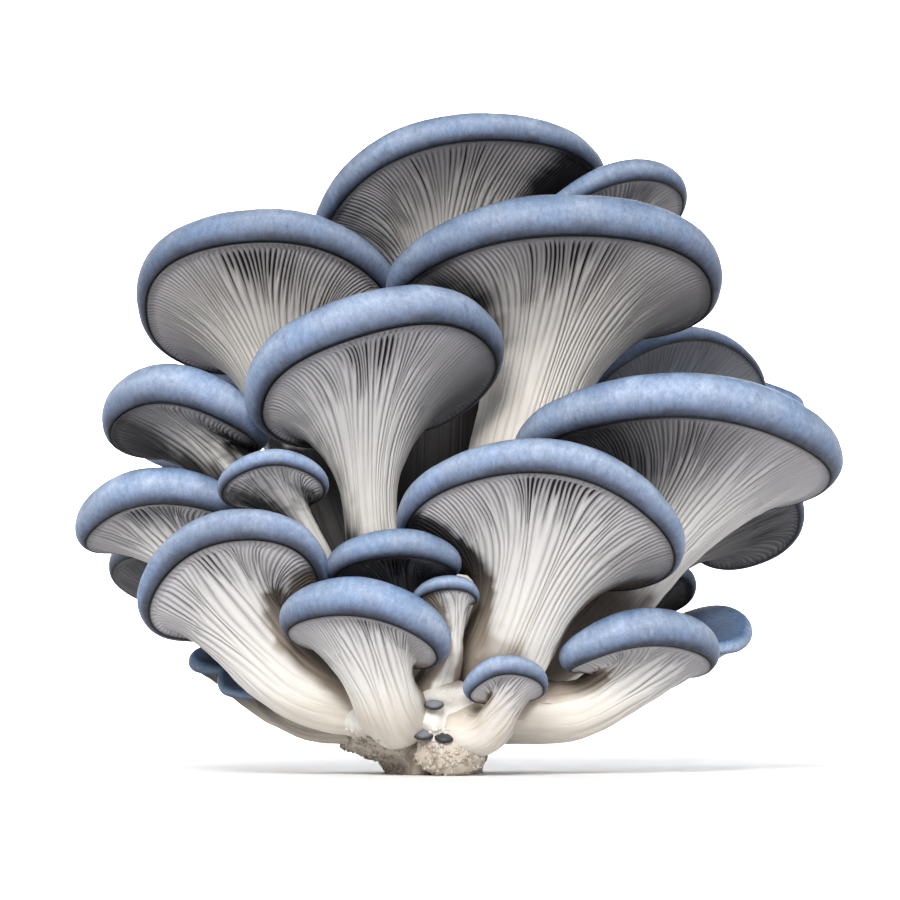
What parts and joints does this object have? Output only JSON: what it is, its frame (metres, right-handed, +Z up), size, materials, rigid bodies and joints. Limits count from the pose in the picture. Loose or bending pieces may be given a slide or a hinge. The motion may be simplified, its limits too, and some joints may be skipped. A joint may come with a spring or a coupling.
{
  "type": "oyster mushroom cluster",
  "caption": "Cluster of blue oyster mushrooms with thick inrolled caps over ribbed trumpet gills and pale stems, grown together in a ragged base it stands on.",
  "frame": {"origin": "middle of the flat cut face under the base, which is the plane z = 0", "axes": "+Z is up the cluster from its cut base, the open front with the most gills faces -Y, and +X is to the right seen from the front and is the longest way across"},
  "size_m": [0.1906, 0.1527, 0.1668],
  "materials": {
    "cap_skin": "matte blue-grey skin with fine fibres, paler along the shoulder of the rim",
    "gills_and_stem": "matt cool white gills going into cream stems, darker in the folds",
    "base_flesh": "rough cream to brown torn flesh"
  },
  "bodies": {
    "root": {"cap_front_left_low": "cap_skin", "stem_front_left_low": "gills_and_stem", "cap_front_right_bud": "cap_skin", "stem_front_right_bud": "gills_and_stem", "cap_front_slender": "cap_skin", "stem_front_slender": "gills_and_stem", "cap_centre_small": "cap_skin", "stem_centre_small": "gills_and_stem", "cap_front_right": "cap_skin", "stem_front_right": "gills_and_stem", "cap_front_left": "cap_skin", "stem_front_left": "gills_and_stem", "cap_low_right": "cap_skin", "stem_low_right": "gills_and_stem", "cap_centre_left": "cap_skin", "stem_centre_left": "gills_and_stem", "cap_left_small": "cap_skin", "stem_left_small": "gills_and_stem", "cap_right_large": "cap_skin", "stem_right_large": "gills_and_stem", "cap_upper_right": "cap_skin", "stem_upper_right": "gills_and_stem", "cap_upper_left": "cap_skin", "stem_upper_left": "gills_and_stem", "cap_left_high": "cap_skin", "stem_left_high": "gills_and_stem", "cap_left_mid": "cap_skin", "stem_left_mid": "gills_and_stem", "cap_top": "cap_skin", "stem_top": "gills_and_stem", "cap_top_right_back": "cap_skin", "stem_top_right_back": "gills_and_stem", "cap_right_high": "cap_skin", "stem_right_high": "gills_and_stem", "cap_right_high_back": "cap_skin", "stem_right_high_back": "gills_and_stem", "cap_right_mid_back": "cap_skin", "stem_right_mid_back": "gills_and_stem", "cap_right_bud_back": "cap_skin", "stem_right_bud_back": "gills_and_stem", "cap_low_right_back": "cap_skin", "stem_low_right_back": "gills_and_stem", "cap_left_low_back": "cap_skin", "stem_left_low_back": "gills_and_stem", "cap_left_bud_1": "cap_skin", "stem_left_bud_1": "gills_and_stem", "cap_left_bud_2": "cap_skin", "stem_left_bud_2": "gills_and_stem", "cap_back_left_high": "cap_skin", "stem_back_left_high": "gills_and_stem", "cap_back_right_high": "cap_skin", "stem_back_right_high": "gills_and_stem", "cap_back_low": "cap_skin", "stem_back_low": "gills_and_stem", "cap_back_left": "cap_skin", "stem_back_left": "gills_and_stem", "cap_back_right_low": "cap_skin", "stem_back_right_low": "gills_and_stem", "base": "base_flesh"}
  },
  "joints": []
}
